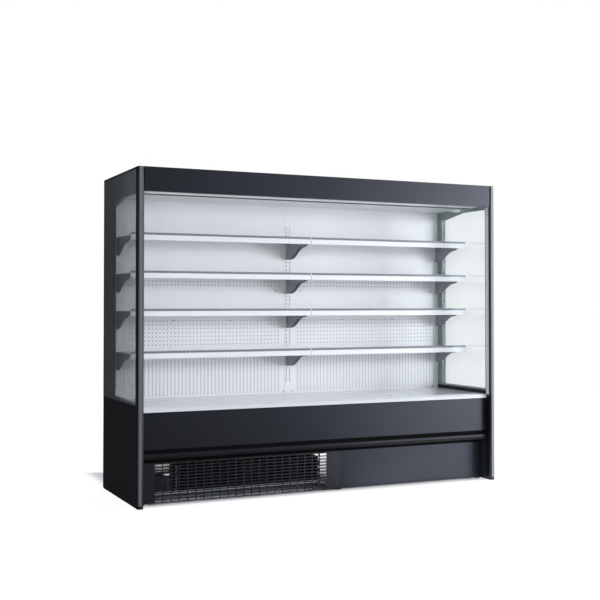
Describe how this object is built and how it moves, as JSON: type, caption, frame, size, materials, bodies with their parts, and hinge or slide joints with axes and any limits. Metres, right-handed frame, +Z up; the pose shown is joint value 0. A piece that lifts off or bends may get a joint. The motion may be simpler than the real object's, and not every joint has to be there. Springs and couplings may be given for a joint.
{
  "type": "open multideck display fridge",
  "caption": "Open-front multideck chiller: tank with slotted kick grille, lit canopy with night blinds, glazed end walls, four tiers of bracket shelves in two bays.",
  "frame": {"origin": "floor level at the middle of the cabinet's footprint", "axes": "+X along the front to the shopper's right, +Y to the back, +Z up"},
  "size_m": [2.5, 0.8, 2],
  "materials": {
    "white_coated_steel": "gloss white coating",
    "outer_cladding": "white coated outer sheet",
    "black_coated_steel": "satin black coating",
    "galvanised_steel": "galvanised sheet and tube",
    "grey_coated_steel": "grey coating",
    "stile_aluminium": "satin anodised",
    "clear_glass": "clear tempered pane",
    "printed_border": "dark filling behind the panes",
    "black_trim": "matte black profile",
    "rail_plastic": "white price rail",
    "bumper_plastic": "satin black profile",
    "grid_plastic": "dark outlet grid",
    "lamp_plastic": "opal diffuser",
    "switch_plastic": "black housing",
    "fan_plastic": "black fan wheel",
    "coil_aluminium": "aluminium fins",
    "compressor_steel": "gloss black shell",
    "foot_plastic": "black pad and stud",
    "bearing_plastic": "black bearing plates",
    "blind_cloth": "silver-grey blind cloth",
    "bar_aluminium": "satin pull bar"
  },
  "bodies": {
    "cabinet": {"tank": "white_coated_steel", "back_panels": "white_coated_steel", "ceiling_panels": "white_coated_steel", "deck_pan_left": "white_coated_steel", "deck_pan_right": "white_coated_steel", "deck_lip": "white_coated_steel", "fan_plate": "white_coated_steel", "shelf_1_left": "white_coated_steel", "shelf_1_right": "white_coated_steel", "shelf_2_left": "white_coated_steel", "shelf_2_right": "white_coated_steel", "shelf_3_left": "white_coated_steel", "shelf_3_right": "white_coated_steel", "shelf_4_left": "white_coated_steel", "shelf_4_right": "white_coated_steel", "back_wall": "outer_cladding", "roof_panel": "outer_cladding", "fascia": "black_coated_steel", "front_panel": "black_coated_steel", "kick_grille": "black_coated_steel", "kick_plate": "black_coated_steel", "side_panel_left": "black_coated_steel", "side_panel_right": "black_coated_steel", "base_frame": "galvanised_steel", "machine_tray": "galvanised_steel", "condenser_shroud": "galvanised_steel", "uprights": "grey_coated_steel", "shelf_brackets": "grey_coated_steel", "stile_left": "stile_aluminium", "stile_right": "stile_aluminium", "side_glass": "clear_glass", "window_border": "printed_border", "side_trim": "black_trim", "price_rails": "rail_plastic", "bumper_rail": "bumper_plastic", "air_outlet": "grid_plastic", "lamps": "lamp_plastic", "switch_housing": "switch_plastic", "electrical_box": "switch_plastic", "condenser": "coil_aluminium", "evaporator": "coil_aluminium", "compressor": "compressor_steel", "blind_brackets": "bearing_plastic", "blind_sheet_left": "blind_cloth", "blind_sheet_right": "blind_cloth"},
    "blind_bar_left": {"blind_bar_left": "bar_aluminium"},
    "blind_bar_right": {"blind_bar_right": "bar_aluminium"},
    "blind_roller_left": {"blind_roller_left": "blind_cloth"},
    "blind_roller_right": {"blind_roller_right": "blind_cloth"},
    "condenser_fan_left": {"condenser_fan_left": "fan_plastic"},
    "condenser_fan_right": {"condenser_fan_right": "fan_plastic"},
    "foot_front_left": {"foot_front_left": "foot_plastic"},
    "foot_front_middle": {"foot_front_middle": "foot_plastic"},
    "foot_front_right": {"foot_front_right": "foot_plastic"},
    "foot_rear_left": {"foot_rear_left": "foot_plastic"},
    "foot_rear_middle": {"foot_rear_middle": "foot_plastic"},
    "foot_rear_right": {"foot_rear_right": "foot_plastic"},
    "lamp_switch": {"lamp_switch": "switch_plastic"},
    "tank_fan_left": {"tank_fan_left": "fan_plastic"},
    "tank_fan_right": {"tank_fan_right": "fan_plastic"}
  },
  "joints": [
    {"name": "blind_bar_left_pull", "type": "slide", "parent": "cabinet", "child": "blind_bar_left", "axis": [0, 0, -1], "range_m": [0, 1.277], "stiffness_N_per_m": 12, "springref_m": -1.5, "deforming": ["blind_sheet_left"]},
    {"name": "blind_bar_right_pull", "type": "slide", "parent": "cabinet", "child": "blind_bar_right", "axis": [0, 0, -1], "range_m": [0, 1.277], "stiffness_N_per_m": 12, "springref_m": -1.5, "deforming": ["blind_sheet_right"]},
    {"name": "blind_roller_left_turn", "type": "hinge", "parent": "cabinet", "child": "blind_roller_left", "pos_m": [-0.6065, -0.366, 1.912], "axis": [1, 0, 0], "range_deg": [-4310, 0]},
    {"name": "blind_roller_right_turn", "type": "hinge", "parent": "cabinet", "child": "blind_roller_right", "pos_m": [0.6065, -0.366, 1.912], "axis": [1, 0, 0], "range_deg": [-4310, 0]},
    {"name": "tank_fan_left_spin", "type": "hinge", "parent": "cabinet", "child": "tank_fan_left", "pos_m": [-0.6, -0.117, 0.4565], "axis": [0, 1, 0], "continuous": true},
    {"name": "tank_fan_right_spin", "type": "hinge", "parent": "cabinet", "child": "tank_fan_right", "pos_m": [0.6, -0.117, 0.4565], "axis": [0, 1, 0], "continuous": true},
    {"name": "condenser_fan_left_spin", "type": "hinge", "parent": "cabinet", "child": "condenser_fan_left", "pos_m": [-0.717, -0.134, 0.1345], "axis": [0, 1, 0], "continuous": true},
    {"name": "condenser_fan_right_spin", "type": "hinge", "parent": "cabinet", "child": "condenser_fan_right", "pos_m": [-0.257, -0.134, 0.1345], "axis": [0, 1, 0], "continuous": true},
    {"name": "lamp_switch_rock", "type": "hinge", "parent": "cabinet", "child": "lamp_switch", "pos_m": [1.13, -0.106, 1.846], "axis": [1, 0, 0], "range_deg": [0, 24]},
    {"name": "foot_front_left_screw", "type": "slide", "parent": "cabinet", "child": "foot_front_left", "axis": [0, 0, -1], "range_m": [0, 0.025]},
    {"name": "foot_front_middle_screw", "type": "slide", "parent": "cabinet", "child": "foot_front_middle", "axis": [0, 0, -1], "range_m": [0, 0.025]},
    {"name": "foot_front_right_screw", "type": "slide", "parent": "cabinet", "child": "foot_front_right", "axis": [0, 0, -1], "range_m": [0, 0.025]},
    {"name": "foot_rear_left_screw", "type": "slide", "parent": "cabinet", "child": "foot_rear_left", "axis": [0, 0, -1], "range_m": [0, 0.025]},
    {"name": "foot_rear_middle_screw", "type": "slide", "parent": "cabinet", "child": "foot_rear_middle", "axis": [0, 0, -1], "range_m": [0, 0.025]},
    {"name": "foot_rear_right_screw", "type": "slide", "parent": "cabinet", "child": "foot_rear_right", "axis": [0, 0, -1], "range_m": [0, 0.025]}
  ],
  "couplings": [
    {"joint": "blind_roller_left_turn", "follows": "blind_bar_left_pull", "rad_per_m": -58.8},
    {"joint": "blind_roller_right_turn", "follows": "blind_bar_right_pull", "rad_per_m": -58.8}
  ]
}
